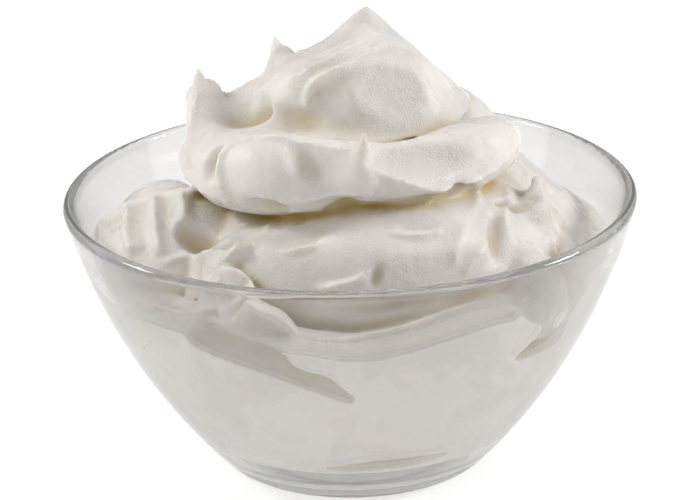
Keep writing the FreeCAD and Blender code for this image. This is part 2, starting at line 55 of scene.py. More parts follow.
def wallArc(shape):
    lipR, lipZ = shape["width"] / 2 - shape["wall"] / 2, shape["height"] - shape["wall"] / 2
    runR, runZ = lipR - shape["foot"], lipZ
    chord = math.hypot(runR, runZ)
    arc = (chord * chord / 4 + shape["bow"] ** 2) / (2 * shape["bow"])
    centreR = (shape["foot"] + lipR) / 2 - runZ / chord * (arc - shape["bow"])
    centreZ = lipZ / 2 + runR / chord * (arc - shape["bow"])
    return centreR, centreZ, arc - shape["wall"] / 2


arcR, arcZ, innerArc = wallArc(bowlShape)


def innerRadius(z):
    return arcR + np.sqrt(innerArc ** 2 - (z - arcZ) ** 2)


farAway = 60.0  # mm; what the clay's distance starts with


# modelling clay: one distance field, below zero inside
def unit(v):
    v = np.asarray(v, float)
    return v / np.linalg.norm(v)


def smoothLine(stations, steps):
    rows = np.asarray(stations, float)
    if len(rows) < 3:
        return rows
    p = np.vstack([2 * rows[0] - rows[1], rows, 2 * rows[-1] - rows[-2]])
    run = []
    for a, b, c, d in zip(p, p[1:], p[2:], p[3:]):
        for t in np.arange(steps) / steps:
            run.append(0.5 * (2 * b + (c - a) * t + (2 * a - 5 * b + 4 * c - d) * t * t
                              + (3 * b - a - 3 * c + d) * t ** 3))
    return np.array(run + [p[-2]])


def softMin(a, b, blend):
    if blend <= 0:
        return np.minimum(a, b)
    rest = np.maximum(blend - np.abs(a - b), 0) / blend
    return np.minimum(a, b) - rest * rest * blend * 0.25


def stoneDistance(q, size):
    near = np.sqrt(sum((v / s) ** 2 for v, s in zip(q, size)))
    slope = np.sqrt(sum((v / s ** 2) ** 2 for v, s in zip(q, size))) + 1e-6
    return near * (near - 1) / slope


class Clay:
    def __init__(self, low, high, step):
        self.low, self.step = np.array(low, np.float32), step
        self.count = [int((h - l) / step) + 1 for l, h in zip(low, high)]
        self.axes = [np.arange(n, dtype=np.float32) * step + l for n, l in zip(self.count, self.low)]
        self.field = np.full(self.count, farAway, np.float32)
        self.waver = None

    def setWaver(self, amount, size, seed):  # slow unevenness, so that no fold is a clean curve
        x, y, z = np.meshgrid(*self.axes, indexing="ij", sparse=True)
        rng = np.random.default_rng(seed)
        self.waver = []
        for axis in range(3):
            total = 0
            for wave in range(5):
                way = unit(rng.normal(size=3))
                turns = 2 * math.pi * 1.6 / (size * (1 + 0.35 * wave))
                phase = rng.uniform(0, 2 * math.pi)
                along = way[0] * x + way[1] * y + way[2] * z
                total = total + np.sin(turns * along + phase) * (0.5 + 0.12 * wave)
            self.waver.append((amount * total).astype(np.float32))

    def window(self, low, high):
        cut = []
        for axis in range(3):
            a = max(0, int((low[axis] - self.low[axis]) / self.step))
            b = min(self.count[axis], int((high[axis] - self.low[axis]) / self.step) + 2)
            if b <= a:
                return None
            cut.append(slice(a, b))
        return tuple(cut)

    def points(self, cut):
        grid = np.meshgrid(*[self.axes[i][cut[i]] for i in range(3)], indexing="ij")
        return [g + w[cut] for g, w in zip(grid, self.waver)]

    def add(self, cut, distance, blend, carve=False):
        distance = distance.astype(np.float32)
        if carve:
            self.field[cut] = -softMin(-self.field[cut], distance, blend)
        else:
            self.field[cut] = softMin(self.field[cut], distance, blend)

    def read(self, points, field=None):
        field = self.field if field is None else field
        q = (np.asarray(points, float) - self.low) / self.step
        i = np.clip(np.floor(q).astype(int), 0, np.array(self.count) - 2)
        f = np.clip(q - i, 0, 1)
        total = 0
        for a in (0, 1):
            for b in (0, 1):
                for c in (0, 1):
                    share = (abs(1 - a - f[..., 0])) * (abs(1 - b - f[..., 1])) * (abs(1 - c - f[..., 2]))
                    total = total + share * field[i[..., 0] + a, i[..., 1] + b, i[..., 2] + c]
        return total

    def outward(self, p):
        e = self.step * 1.2
        return unit([self.read(p + e * d) - self.read(p - e * d) for d in np.eye(3)])

    def settle(self, p, way, far=14.0):  # slides a point along a direction onto the surface
        p, way = np.asarray(p, float), unit(way)
        t = np.arange(far, -far, -0.3)
        value = self.read(p + t[:, None] * way)
        hits = np.where((value[1:] <= 0) & (value[:-1] > 0))[0]
        if len(hits) == 0:
            return p
        k = hits[np.argmin(np.abs(t[hits]))]
        share = value[k] / (value[k] - value[k + 1] + 1e-9)
        return p + (t[k] + (t[k + 1] - t[k]) * share) * way

    def dollop(self, at, size, turn=0, nod=0, lean=0, blend=2.0):
        a, b, c = (math.radians(v) for v in (turn, nod, lean))
        spin = Matrix.Rotation(a, 3, "Z") @ Matrix.Rotation(b, 3, "X") @ Matrix.Rotation(c, 3, "Y")
        spin = np.array(spin)
        at, size = np.array(at, np.float32), np.array(size, np.float32)
        reach = float(size.max()) + blend + 3
        cut = self.window(at - reach, at + reach)
        x, y, z = [g - a0 for g, a0 in zip(self.points(cut), at)]
        q = [spin[0, i] * x + spin[1, i] * y + spin[2, i] * z for i in range(3)]
        self.add(cut, stoneDistance(q, size), blend)

    def peak(self, tip, slope, tall, blunt, lean=(0, 0), blend=2.0):
        tip = np.array(tip, np.float32)
        wide = tall / slope + 4 + tall * max(abs(lean[0]), abs(lean[1]))
        cut = self.window(tip - (wide, wide, tall), tip + (wide, wide, 6))
        x, y, z = self.points(cut)
        drop = tip[2] - z
        run = np.hypot(x - tip[0] - lean[0] * drop, y - tip[1] - lean[1] * drop)
        run = np.sqrt(run * run + blunt * blunt) - blunt
        self.add(cut, np.maximum((run * slope - drop) / math.sqrt(1 + slope * slope), drop - tall), blend)

    def nearest(self, line, cut):
        x, y, z = self.points(cut)
        best = np.full(x.shape, 1e9, np.float32)
        where = np.zeros(x.shape, np.float32)
        for i in range(len(line) - 1):
            a, b = line[i, :3], line[i + 1, :3]
            ab = b - a
            t = ((x - a[0]) * ab[0] + (y - a[1]) * ab[1] + (z - a[2]) * ab[2]) / (float(ab @ ab) + 1e-9)
            t = np.clip(t, 0, 1)
            gap = (x - a[0] - t * ab[0]) ** 2 + (y - a[1] - t * ab[1]) ** 2 + (z - a[2] - t * ab[2]) ** 2
            closer = gap < best
            best[closer], where[closer] = gap[closer], (i + t)[closer]
        return x, y, z, best, where

    def roll(self, path, blend=2.0, carve=False, steps=6):  # stations are x, y, z, radius
        line = smoothLine(path, steps)
        reach = float(line[:, 3].max()) + blend + 2
        cut = self.window(line[:, :3].min(0) - reach, line[:, :3].max(0) + reach)
        best, where = self.nearest(line, cut)[3:]
        radius = np.interp(where, np.arange(len(line)), line[:, 3])
        self.add(cut, np.sqrt(best) - radius, blend, carve)

    def horn(self, base, tip, radius, bend=(0, 0, 0), blend=2.0, power=1.6, point=0.22):
        base, tip = np.array(base, float), np.array(tip, float)
        path = []
        for t in np.linspace(0, 1, 7):
            p = base + (tip - base) * t + np.array(bend) * 4 * t * (1 - t)
            path.append((*p, radius * (1 - t) ** power + point))
        self.roll(path, blend, steps=2)

    def crest(self, path, heights, wide, way=None, blend=0.8, sharp=1.0, fall=0.6):
        # a pulled edge that follows the surface; wide holds the reach of its two sides
        line = smoothLine(path, 5)[:, :3]
        last = len(line) - 1
        tall = np.interp(np.linspace(0, 1, last + 1), np.linspace(0, 1, len(heights)), heights)
        feet, ups = [], []
        for p in line:
            foot = self.settle(p, self.outward(p) if way is None else way)
            up = self.outward(foot)
            feet.append(foot)
            ups.append(up if way is None else unit(unit(way) * 0.6 + up * 0.4))
        feet, ups = np.array(feet), np.array(ups)
        for rows in (feet, ups):
            for again in range(2):
                rows[1:-1] = (rows[:-2] + 2 * rows[1:-1] + rows[2:]) / 4
        ups /= np.linalg.norm(ups, axis=1)[:, None]
        ahead = np.gradient(feet, axis=0)
        ahead /= np.linalg.norm(ahead, axis=1)[:, None] + 1e-9
        sides = np.cross(ahead, ups)
        reach = max(wide) * 2.2 + tall.max()
        cut = self.window(feet.min(0) - reach - 1, feet.max(0) + reach + 1)
        x, y, z, best, where = self.nearest(feet, cut)
        i = np.clip(where.astype(int), 0, last - 1)
        f = (where - i)[..., None]
        rows = np.hstack([feet, ups, sides, tall[:, None]]).astype(np.float32)
        here = rows[i] * (1 - f) + rows[i + 1] * f
        off = [x - here[..., 0], y - here[..., 1], z - here[..., 2]]
        rise = sum(o * here[..., 3 + k] for k, o in enumerate(off))
        side = sum(o * here[..., 6 + k] for k, o in enumerate(off))
        lateral = np.sqrt(np.maximum(best - rise * rise, 0))
        width = np.where(side > 0, wide[0], wide[1])
        profile = here[..., 9] * np.exp(-(lateral / width) ** sharp) - fall * lateral
        self.add(cut, np.maximum((rise - profile) * 0.8, np.sqrt(best) - reach), blend)

    def scoop(self, at, way, along, half, depth, blend=0.8, back=3.0):  # a spoon mark
        way = self.outward(np.array(at, float)) if way is None else unit(way)
        at = self.settle(at, way)
        lengthways = unit(np.asarray(along, float) - np.dot(along, way) * way)
        thick = back * depth
        grow = 1 / math.sqrt(1 - ((thick - depth) / thick) ** 2)
        size = (half[0] * grow, half[1] * grow, thick)
        centre = at + way * (thick - depth)
        reach = max(size) + blend + 3
        cut = self.window(centre - reach, centre + reach)
        x, y, z = [g - c0 for g, c0 in zip(self.points(cut), centre)]
        q = [v[0] * x + v[1] * y + v[2] * z for v in (lengthways, np.cross(way, lengthways), way)]
        self.add(cut, stoneDistance(q, size), blend, carve=True)


# The heap is drawn for this bowl in millimetres: x to the right, -y to the front, z up.
def heapLumps(clay):
    clay.dollop((0, 0, 28), (95, 95, 18), blend=0)  # the level fill, cut to the bowl later
    clay.dollop((0, 6, 43), (57, 54, 18), blend=5)
    clay.dollop((4, 26, 50), (46, 34, 18), lean=4, blend=4)
    clay.peak((32, 9, 76.5), 0.92, 34, 7, lean=(0.1, -0.1), blend=3)  # right slope
    clay.dollop((49, -16, 46), (17, 22, 13), turn=20, lean=20)
    clay.dollop((40, -36, 54), (9, 8.5, 11), blend=1.5)  # torn lump by the glass
    clay.dollop((50, -24, 51), (9, 12, 9), blend=2)
    clay.dollop((-44, -8, 50.5), (24, 26, 17.5), lean=-24, blend=1.5)  # left fan
    clay.dollop((-50, 15, 54), (13, 14, 9), lean=-30, blend=1.5)
    clay.dollop((8, -12, 55), (43, 39, 22), nod=-10, blend=1.5)  # broad lower fold
    clay.roll([(-22, -34, 58, 12), (-8, -38, 59, 13), (8, -39, 59, 14), (22, -34, 61, 13)], blend=3)
    clay.roll([(-50, -31, 49, 6), (-34, -46, 49, 7), (-15, -54, 48, 6.5), (3, -56, 47, 5)], blend=1.5)
    clay.roll([(0, -56, 46, 6), (15, -54, 47, 8), (29, -48, 49.5, 8.5), (36, -42, 51, 7)], blend=1.5)
    clay.dollop((-2, -4, 78), (36, 29, 12), nod=-6, lean=3, blend=1)  # upper turn
    clay.dollop((2, 13, 77), (34, 25, 13), nod=12, lean=-4, blend=3)
    clay.roll([(-32, -8, 78, 8), (-28, -20, 80, 9), (-19, -29, 82.5, 10), (-8, -33, 83, 8.5),
              (3, -35, 84, 7)])
    clay.roll([(2, -33, 83, 6.5), (14, -31, 82, 7.5), (26, -22, 82, 8), (33, -12, 81.5, 7.5),
              (36, -4, 80, 6)], blend=1.5)
    clay.roll([(-31, -2, 84, 6.5), (-25, 1, 86, 6.5), (-15, 4, 87, 8)])
    clay.peak((4.6, 2, 112.5), 1.0, 25, 0.8, blend=2.5)  # crown
    clay.dollop((8, -7, 93), (17, 14, 13), turn=6, lean=22, blend=4)
    clay.dollop((-7, -4, 91), (15, 13, 12), turn=10, lean=-10, blend=5)


def crownFolds(clay):
    clay.scoop((-4, -4, 105.5), None, (1, 0.1, 0.75), (8.5, 3.6), 1.6, blend=1.5)
    clay.crest([(7.5, -5.5, 107), (0, -12, 105.5), (-8, -13, 101.5), (-12, -13, 100)],
               (0.3, 1.2, 1.2, 0.4), (2.6, 2.6), blend=1.2)
    clay.scoop((11, -19.5, 97.5), (0.28, -0.85, 0.42), (1, 0.3, -0.15), (20, 8.2),
               3.2, blend=1)  # the big spoon mark
    clay.scoop((21, -11.5, 97), None, (0.3, 0.3, -1), (8, 4), 0.8, blend=1.5)
    clay.crest([(10, -7.5, 106), (5, -14.5, 105), (0, -16.5, 103), (-6, -16.5, 100.5), (-8.5, -17, 98),
                (-9.5, -18, 93.5)], (0.8, 1.7, 2.2, 2.2, 1.8, 0.4), (2.4, 3.4), fall=1.1)  # swirl edge
    clay.scoop((2.5, -17, 105.5), None, (1, 0.1, 0.45), (10, 2.2), 1.3)
    clay.scoop((-3.5, -20, 98), None, (1, 0, -0.2), (4.5, 1.6), 0.9)
    clay.horn((-12, 4, 92), (-17, 8, 104.2), 7, bend=(-1.2, 0, 0.3), blend=2.5, power=1.2)
    clay.horn((-31.5, -3, 84), (-36, 0, 99.2), 8, bend=(-0.9, 0, -0.4), blend=2.5, power=1.1)
    clay.crest([(-31, 1, 92.5), (-28, 2, 93), (-23, 3, 93), (-18, 4, 93.5), (-14, 5, 95)],
               (1.2, 0.8, 1.6, 1.3, 0.6), (0.9, 1.4), way=(0, 0.1, 1), blend=0.6)


def upperTurn(clay):
    clay.scoop((-24.5, -10, 89), (0.1, -0.3, 1), (1, -0.15, 0), (6.5, 2.8), 3.0, blend=2.5, back=1.8)
    clay.scoop((-14.5, -17.5, 90.5), (0, -0.2, 1), (1, -0.3, 0), (8, 3), 1.4, blend=1.5, back=2)
    clay.crest([(-27.5, -29.5, 88.5), (-24.5, -28.5, 90.5), (-19.5, -32, 91.5), (-14.5, -33.5, 91.5),
                (-8.5, -34.5, 90.5), (-3, -37, 90), (0.5, -37.5, 89.5), (3, -38, 89.5)],
               (0.8, 1.6, 1.8, 1.8, 1.6, 1.4, 1.2, 0.6), (2.4, 2.8), way=(0, -0.3, 1), fall=1)  # front rim
    clay.crest([(-25.5, -29.5, 90.5), (-28.5, -30, 88), (-30, -32, 85), (-29.5, -33, 81),
               (-27.5, -33, 77)], (0.6, 1.8, 2.2, 1.8, 0.5), (2.6, 2.2))
    clay.crest([(4, -39.5, 88.5), (5, -40.5, 87), (8, -41, 85), (13.5, -38.5, 82), (20.5, -35.5, 79.5),
                (26.5, -31.5, 79.5), (33, -25.5, 80), (37.5, -19.5, 81)],
               (0.2, 1.0, 2.0, 2.0, 1.8, 1.4, 1.0, 0.4), (2.2, 2.6), fall=1)
    clay.scoop((17, -34, 86), (0.35, -0.75, 0.55), (1, 0.35, -0.25), (18, 5.6), 2.8, blend=1.2)
    clay.scoop((-6, -41, 85.5), (-0.1, -0.85, 0.5), (0.55, 0, -1), (9.5, 4.8), 2.4, blend=3.5)
    clay.scoop((-3, -39.5, 77.5), (0, -0.9, -0.4), (1, 0, 0.1), (6, 2.6), 2.2, blend=1.2, back=1.6)
    clay.scoop((-11, -36.5, 87.5), None, (0.5, 0, -1), (5, 2.5), 0.9, blend=1.5)
    clay.crest([(-41, -6, 82), (-42, -11, 79.5), (-38, -18, 77.5), (-33, -26, 78), (-29, -31, 76)],
               (0.8, 2.0, 2.2, 1.8, 0.5), (2.0, 2.8))  # thin left edge
    clay.scoop((-32, -28.5, 85), None, (0.1, 0, 1), (8, 2), 2.2, blend=1)
    clay.crest([(-35.5, -3, 93), (-37.5, -6.5, 89), (-39.5, -7.5, 84.5)], (1.2, 1.2, 0.5),
               (2.2, 2.2), blend=1)
    clay.horn((2.2, -38, 87), (3.7, -40, 95), 2.6, bend=(0.3, -0.2, 0), blend=1, power=0.85)  # pulled tip


def lowerFold(clay):
    clay.roll([(-28, -32, 75, 0.8), (-20, -33.5, 73, 0.9), (-12, -35.5, 73.5, 1)], carve=True, blend=1)
    clay.roll([(-5.5, -37, 75.5, 1.2), (-1, -37, 76.5, 2.2), (3, -37, 77, 0.8)], carve=True, blend=1)
    clay.roll([(9, -38, 76.8, 0.7), (15, -37, 77, 1.3), (22, -33, 77, 1), (29, -27, 77, 0.4)],
              carve=True, blend=1)
    clay.crest([(-19, -31.5, 70.5), (-21.5, -37.5, 69.5), (-26, -41.5, 66.5), (-29.5, -41.5, 63),
                (-32.5, -45.5, 62)], (0.8, 2.6, 3, 2.6, 1), (4.5, 2))
    clay.scoop((-26.5, -37, 68.5), None, (1, 0, 0.9), (11, 3.5), 1.8, blend=1.2)
    clay.crest([(-15, -45, 68.5), (-12, -45.5, 69), (-9, -45.5, 70), (-7, -44, 71), (-6.5, -39.5, 72.5)],
               (0.3, 1.4, 1.6, 1.6, 0.4), (0.8, 3), blend=0.5)  # torn edge
    clay.scoop((-11.5, -42, 71), None, (1, 0, 0.2), (8, 4), 1.4, blend=1.2)
    clay.crest([(31.5, -24.5, 76), (30, -28, 73.5), (27, -38.5, 72), (24, -45, 69), (23, -48, 65.5)],
               (0.3, 1.2, 1.6, 1.4, 0.4), (3.4, 2))
    clay.crest([(38, -14, 71.5), (37, -21.5, 71), (34.5, -33.5, 69.5), (29.5, -43.5, 67),
               (25.5, -47.5, 63.5)], (0.3, 1.4, 1.8, 1.4, 0.4), (2.2, 3.4))
    clay.scoop((30.5, -37.5, 71), None, (0.25, 0, 1), (12, 3.6), 0.6, blend=2)
    clay.scoop((15.5, -45, 71.5), None, (1, 0, 0.2), (12, 5), 1, blend=2)
    clay.crest([(10, -45, 72), (15.5, -45, 71), (20, -43, 71.5)], (0.4, 0.9, 0.3), (1.2, 3), blend=0.6)
    clay.crest([(-8, -53.5, 63), (-5, -52, 62.5), (-1.5, -51.5, 63), (2, -51.5, 64), (4, -51, 66)],
               (0.6, 1.8, 1.6, 1.8, 0.5), (3, 0.9), blend=0.5)
    clay.scoop((6, -51.5, 64), None, (0.4, 0, 1), (2.8, 1.6), 1.2, blend=1, back=1.6)


def rightSlope(clay):
    clay.horn((41, -22, 61), (45.6, -11, 73.2), 7, bend=(0.5, -3, 0.5), blend=1.5, power=0.9)  # curl
    for x, y, bow in ((41, 4, -1), (43, -4, 1), (44, -12, -1)):  # ridges that run down to the glass
        clay.crest([(x, y, 72), (x + 7, y - 2 + bow, 65), (x + 13, y - 5, 58)], (0.2, 1, 0.3),
                   (1.4, 2.2), way=(0.6, -0.3, 1))
    clay.scoop((40.5, -22.5, 70), None, (0.4, 0, 1), (6, 1.8), 1)
    clay.scoop((33.5, -36.5, 68.5), None, (0.5, 0, 1), (9, 2.4), 2, blend=1)
    for x, y, z in ((39.5, -35, 65), (43.5, -33, 64), (47, -26, 62), (51, -19.5, 59.5), (55, -14.5, 57.5)):
        clay.crest([(x - 1, y + 2, z + 2), (x, y, z), (x + 1, y - 2, z - 2)], (0.3, 1, 0.3),
                   (1.2, 1.8), blend=0.6)


def leftFan(clay):
    for top, middle, low in (((-42, 2, 68), (-40.5, -11.5, 69.5), (-38, -25, 66)),
                             ((-48, 2, 66), (-46.5, -11.5, 67.5), (-44, -27, 63)),
                             ((-54, 1, 64), (-52.5, -10, 64.5), (-50, -24, 61)),
                             ((-60, 2, 60), (-59, -7, 60.5), (-56, -19, 58))):
        clay.crest([top, middle, low], (0.8, 2.4, 1.4), (2.6, 2.6), blend=1, sharp=1.6)
    clay.crest([(-36.5, -13.5, 72.5), (-44, -6, 69), (-51, -4, 66.5), (-58, -4, 63), (-63, -6, 58)],
               (0.6, 1.4, 1.8, 1.8, 0.8), (3, 3), blend=1)
    clay.scoop((-35.5, -24.5, 65), None, (0.5, 0, -1), (7, 4), 3.6, blend=1.2, back=1.8)
    clay.crest([(-43, -29.5, 60.5), (-37.5, -28.5, 61.5), (-31.5, -35, 64.5), (-26, -43, 68.5)],
               (0.6, 2, 2, 0.6), (2, 3.4), blend=1)


def frontGlass(clay):
    clay.roll([(-34, -52.5, 52, 3.6), (-20, -58, 48, 4), (-9, -58.6, 42.5, 3), (-1, -57, 37.5, 1.2)],
              carve=True, blend=0.8)  # wedge of air
    clay.crest([(-50, -38, 58), (-40, -47, 57), (-30, -53, 54), (-22, -57, 50)], (0.4, 2, 2, 0.4),
               (3, 1.4), blend=0.6)
    clay.roll([(-14, -51, 58, 0.6), (0, -53, 57.5, 1.5), (16, -52, 58, 1.3), (30, -46, 59, 0.5)],
              carve=True, blend=0.8)
    clay.crest([(-8, -58, 53), (4, -58.5, 55), (18, -55.5, 56), (32, -48, 58)], (0.4, 1.8, 1.6, 0.4),
               (1.4, 3), blend=0.6)
    clay.roll([(-6, -42, 13.8, 0.8), (3, -43, 14.4, 2), (13, -41, 14.6, 2), (20, -38, 15, 0.7)],
              carve=True, blend=0.3)  # a sliver of air near the foot
    clay.crest([(32, -53, 63), (35.5, -52, 57), (39, -48.5, 50)], (0.6, 2, 0.6), (1, 3), blend=0.6)


def backFolds(clay):
    clay.crest([(-11, 3, 100), (-7, 13, 97), (3, 17, 95), (12, 14, 93)],
               (0.4, 1.8, 1.8, 0.4), (2.4, 3.2))
    clay.scoop((8, 24, 92), None, (1, 0.1, -0.15), (15, 6), 2.6, blend=1.2)
    clay.crest([(-34, 10, 84), (-28, 24, 80), (-12, 35, 79), (6, 37, 80), (24, 31, 80), (35, 14, 80)],
               (0.5, 2.0, 2.4, 1.2, 0.5, 0.2), (2.4, 2.8))
    clay.roll([(-36, 22, 71, 0.8), (-20, 40, 71, 1.8), (4, 45, 71, 2.2), (26, 38, 72, 1.6),
              (40, 22, 71, 0.6)], carve=True, blend=1.2)
    clay.horn((-4, 34, 80), (-9, 39, 91), 4.5, bend=(-0.8, 0.6, 0), blend=2)
    clay.crest([(-42, 30, 67), (-28, 45, 67), (-8, 52, 66), (14, 53, 65), (34, 45, 65), (50, 26, 63)],
               (0.5, 2.2, 2.0, 2.4, 2.0, 0.5), (2.6, 3.4), blend=1)
    clay.scoop((-22, 47, 64), None, (1, 0.4, 0), (13, 4.5), 2.2, blend=1.2)
    clay.scoop((25, 49, 63), None, (1, -0.5, 0), (14, 4.5), 2.4, blend=1.2)
    clay.crest([(30, 30, 74), (40, 28, 70), (50, 24, 63)], (0.4, 1.8, 0.5), (2.2, 3), blend=0.8)


heap = {
    "step": 0.7,          # fineness of the clay, mm
    "low": (-71, -71, 2),
    "high": (71, 71, 116),
    "waver": (0.3, 30.0, 3),   # amount, size and seed of the slow unevenness
    "intoGlass": 0.25,    # how far the yogurt reaches into the wall, so that no air shows between
}


skin = {  # mm; pairs are the size and seed of a noise
    "smoothUpTo": 44,     # pressed smooth by the glass below this
    "tornPatches": (13, 5),
    "tornBelow": 74,      # the right side is torn below this
    "lumps": (2.3, 7),
    "lumpRise": 0.16,
    "specks": (1.3, 8),
    "speckRise": 0.05,
    "tornRise": 0.07,     # more on torn patches
    "glowReach": 7,       # how far behind the glass its light is carried
    "glowTop": 66,
}


def latticeNoise(points, size, seed):  # soft random bumps between -1 and 1
    rng = np.random.default_rng(seed)
    span = int(200 / size) + 3
    values = rng.uniform(-1, 1, (span, span, span))
    q = (points + 80) / size
    i = np.floor(q).astype(int)
    f = q - i
    f = f * f * (3 - 2 * f)
    total = 0
    for a in (0, 1):
        for b in (0, 1):
            for c in (0, 1):
                share = abs(1 - a - f[:, 0]) * abs(1 - b - f[:, 1]) * abs(1 - c - f[:, 2])
                total = total + share * values[i[:, 0] + a, i[:, 1] + b, i[:, 2] + c]
    return total


def blurBox(values, radius):
    for axis in range(3):
        pad = [(0, 0)] * 3
        pad[axis] = (radius + 1, radius)
        run = np.cumsum(np.pad(values, pad, mode="edge"), axis=axis, dtype=np.float64)
        wide = 2 * radius + 1
        front = [slice(None)] * 3
        rear = [slice(None)] * 3
        front[axis], rear[axis] = slice(wide, None), slice(None, -wide)
        values = ((run[tuple(front)] - run[tuple(rear)]) / wide).astype(np.float32)
    return values


def sculptYogurt():
    clay = Clay(heap["low"], heap["high"], heap["step"])
    clay.setWaver(*heap["waver"])
    for shape in (heapLumps, crownFolds, upperTurn, lowerFold, rightSlope, leftFan, frontGlass, backFolds):
        shape(clay)
    x, y, z = np.meshgrid(*clay.axes, indexing="ij", sparse=True)
    hollow = (np.sqrt(x * x + y * y) - innerRadius(np.minimum(z, arcZ)) - heap["intoGlass"]) * 0.93
    hollow = np.where(z > bowlShape["height"] - 0.6, -50.0, hollow)
    hollow = np.maximum(hollow, bowlShape["floor"] - heap["intoGlass"] - z)
    clay.field = np.maximum(clay.field, hollow.astype(np.float32))
    return clay


def wallGap(points):
    return innerRadius(np.minimum(points[:, 2], arcZ)) - np.hypot(points[:, 0], points[:, 1])


def keepOneBody(points, quads):  # drops the specks that lie loose in the creases
    body = np.arange(len(points))
    while True:
        before = body.copy()
        np.minimum.at(body, quads.ravel(), np.repeat(body[quads].min(1), 4))
        body = body[body]
        if (body == before).all():
            break
    kept = body == np.bincount(body).argmax()
    place = np.cumsum(kept) - 1
    return points[kept], place[quads[kept[quads[:, 0]]]]


def meshYogurt(clay):
    grid = vdb.FloatGrid(farAway)
    grid.copyFromArray(clay.field)
    points, quads = grid.convertToQuads(0.0)
    points, quads = keepOneBody(points * clay.step + clay.low, quads)
    mesh = bpy.data.meshes.new("yogurt")
    mesh.from_pydata((points * mm).tolist(), [], quads[:, ::-1].tolist())
    mesh.update()
    mesh.polygons.foreach_set("use_smooth", np.ones(len(mesh.polygons), bool))
    normals = np.zeros(len(points) * 3, np.float32)
    mesh.vertices.foreach_get("normal", normals)
    filled = (clay.field < 0).astype(np.float32)
    near = clay.read(points, blurBox(blurBox(filled, 2), 2))
    wide = clay.read(points, blurBox(blurBox(filled, 6), 6))
    free = np.clip((points[:, 2] - skin["smoothUpTo"]) / 8, 0, 1)
    free *= np.clip(wallGap(points) / 1.5, 0, 1)
    torn = np.clip(latticeNoise(points, *skin["tornPatches"]) * 1.6 + 0.2, 0, 1)
    torn = np.maximum(torn, np.clip((points[:, 0] - 26) / 12, 0, 1) * (points[:, 2] < skin["tornBelow"]))
    lift = latticeNoise(points, *skin["lumps"]) * skin["lumpRise"] * torn
    lift = lift + latticeNoise(points, *skin["specks"]) * (skin["speckRise"] + skin["tornRise"] * torn)
    points = points + normals.reshape(-1, 3) * (lift * free)[:, None]
    mesh.vertices.foreach_set("co", (points * mm).astype(np.float32).ravel())
    # painted light: behind marks the yogurt just inside the glass and below glowTop, where the colour is
    # lightened and a faint glow is added
    behind = np.clip(1 - wallGap(points) / skin["glowReach"], 0, 1)
    behind = behind * np.clip((skin["glowTop"] - points[:, 2]) / 5, 0, 1)
    shade = mesh.attributes.new("fold", "FLOAT_COLOR", "POINT")
    # painted shade: fold is how far each point sits down in a crease, from the filled share around it; the
    # material darkens and warms the colour there
    fold = np.clip((near - 0.52) / 0.22, 0, 1) * 0.5 + np.clip((wide - 0.55) / 0.25, 0, 1) * 0.5
    colour = np.stack([fold, torn, behind, np.ones(len(points))], 1).astype(np.float32)
    shade.data.foreach_set("color", colour.ravel())
    mesh.update()
    return mesh


def placePiece(name, mesh, material, stands):
    piece = bpy.data.objects.new(name, mesh)
    bpy.context.scene.collection.objects.link(piece)
    mesh.materials.append(material)
    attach(piece, "root")
    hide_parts(stands)
    return piece


class Value:  # a socket that can be added, multiplied and so on
    def __init__(self, nodes, socket):
        self.nodes, self.socket = nodes, socket

    def combine(self, operation, a, b):
        return self.nodes.make("ShaderNodeMath", {"operation": operation}, {0: a, 1: b})

    def __add__(self, other):
        return self.combine("ADD", self, other)

    def __radd__(self, other):
        return self.combine("ADD", other, self)

    def __sub__(self, other):
        return self.combine("SUBTRACT", self, other)

    def __rsub__(self, other):
        return self.combine("SUBTRACT", other, self)

    def __mul__(self, other):
        return self.combine("MULTIPLY", self, other)

    def __rmul__(self, other):
        return self.combine("MULTIPLY", other, self)

    def __pow__(self, other):
        return self.combine("POWER", self, other)


class Nodes:
    def __init__(self, name):
        self.material = bpy.data.materials.new(name)
        self.material.use_nodes = True
        self.tree = self.material.node_tree
        self.tree.nodes.clear()

    def make(self, kind, settings=None, inputs=None, out=0):
        node = self.tree.nodes.new(kind)
        for name, value in (settings or {}).items():
            setattr(node, name, value)
        for name, value in (inputs or {}).items():
            self.feed(node.inputs[name], value)
        return Value(self, node.outputs[out]) if node.outputs else None

    def feed(self, socket, value):
        if isinstance(value, Value):
            self.tree.links.new(value.socket, socket)
        elif isinstance(value, tuple) and len(value) == 3 and len(socket.default_value) == 4:
            socket.default_value = (*value, 1)
        else:
            socket.default_value = value

    def noise(self, at, scale, detail=2.0, rough=0.5):
        return self.make("ShaderNodeTexNoise", {}, {"Vector": at, "Scale": scale, "Detail": detail,
                                                    "Roughness": rough})

    def mixColour(self, share, a, b):
        return self.make("ShaderNodeMix", {"data_type": "RGBA"}, {0: share, 6: a, 7: b}, out=2)

    def spread(self, value, low, high, top=1.0, bottom=0.0):  # maps low..high onto bottom..top
        return self.make("ShaderNodeMapRange", {}, {"Value": value, "From Min": low, "From Max": high,
                                                    "To Min": bottom, "To Max": top})

    def finish(self, shader):
        self.make("ShaderNodeOutputMaterial", {}, {"Surface": shader})
        return self.material


yogurtLook = {
    "cream": (0.835, 0.80, 0.765),     # linear colour of the lit folds
    "milk": (0.785, 0.745, 0.70),
    "paintedLightBehindGlass": (0.96, 0.94, 0.90),     # painted light: lighter colour where it lies against the glass, for light the glass lets through
    "glow": (0.125, 0.117, 0.102),     # light that the glass carries round to it
    "deep": (0.55, 0.40, 0.11),     # painted shade: warm darker colour down in the creases
    "creaseShadePower": 1.0,
    "softScale": 0.0022,     # how far light spreads under the surface, metres
    "grain": 2300.0,     # bumps per metre of the finest speckle, then coarser ones
    "grit": 420.0,
    "wetPatch": 75.0,
    "cloud": 45.0,
    "relief": 0.8,
    "dullness": 0.32,
    "wetShine": 0.14,    # taken off the dullness where it is wet
}


